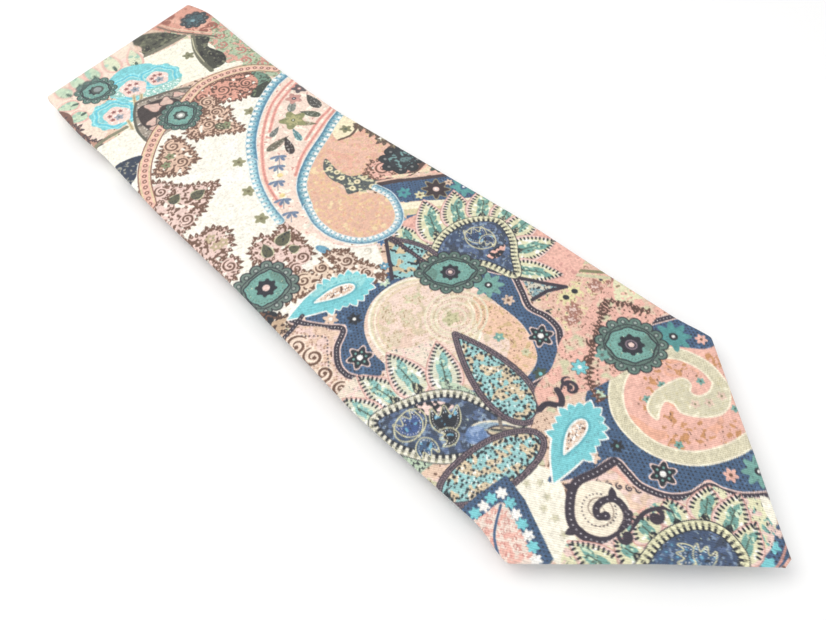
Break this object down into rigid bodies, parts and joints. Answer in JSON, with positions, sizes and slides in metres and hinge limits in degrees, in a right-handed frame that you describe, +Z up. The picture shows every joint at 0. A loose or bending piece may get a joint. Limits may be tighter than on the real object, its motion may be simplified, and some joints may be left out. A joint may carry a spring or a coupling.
{
  "type": "necktie",
  "caption": "Wide lined necktie folded in four, face of the pointed front blade up, with interlining, tippings, keeper loop, blank labels and hinged folds.",
  "frame": {"origin": "on the ground under the middle of the folded tie", "axes": "+X across the tie, +Y from the front tip to the far fold, +Z up from the tail blade to the front blade"},
  "size_m": [0.1098, 0.366, 0.0096],
  "materials": {
    "printed_silk": "satin print, large paisley in navy, teal, salmon, cream and brown",
    "plain_tipping": "smooth lining satin, navy",
    "wool_interlining": "brushed canvas",
    "thread": "twisted sewing thread",
    "label_satin": "blank woven label"
  },
  "bodies": {
    "tail_blade": {"tail_blade_shell": "printed_silk", "tail_blade_interlining": "wool_interlining", "tail_tipping": "plain_tipping", "tail_slip_stitch": "thread", "tail_bar_tack": "thread", "spare_thread_loop": "thread"},
    "rear_shank": {"neck_shell_rear": "printed_silk", "rear_shank_shell": "printed_silk", "rear_shank_interlining": "wool_interlining", "rear_shank_slip_stitch": "thread", "rear_piecing_stitch": "thread"},
    "front_shank": {"front_shank_shell": "printed_silk", "neck_shell_front": "printed_silk", "front_shank_interlining": "wool_interlining", "front_shank_slip_stitch": "thread", "front_piecing_stitch": "thread"},
    "front_blade": {"front_blade_shell": "printed_silk", "front_blade_interlining": "wool_interlining", "front_tipping": "plain_tipping", "front_slip_stitch": "thread", "front_bar_tack": "thread", "blank_label": "label_satin", "blank_care_label": "label_satin", "label_tack_left": "thread", "label_tack_right": "thread", "keeper_loop": "printed_silk", "keeper_tack_left": "thread", "keeper_tack_right": "thread"}
  },
  "joints": [
    {"name": "tail_fold", "type": "hinge", "parent": "tail_blade", "child": "rear_shank", "pos_m": [0, 0.1815, 0.00225], "axis": [-1, 0, 0], "range_deg": [0, 180]},
    {"name": "near_fold", "type": "hinge", "parent": "rear_shank", "child": "front_shank", "pos_m": [0, -0.151, 0.0047], "axis": [1, 0, 0], "range_deg": [0, 180]},
    {"name": "far_fold", "type": "hinge", "parent": "front_shank", "child": "front_blade", "pos_m": [0, 0.183, 0.00725], "axis": [-1, 0, 0], "range_deg": [0, 180]}
  ],
  "couplings": [
    {"joint": "near_fold", "follows": "tail_fold", "ratio": 1}
  ]
}
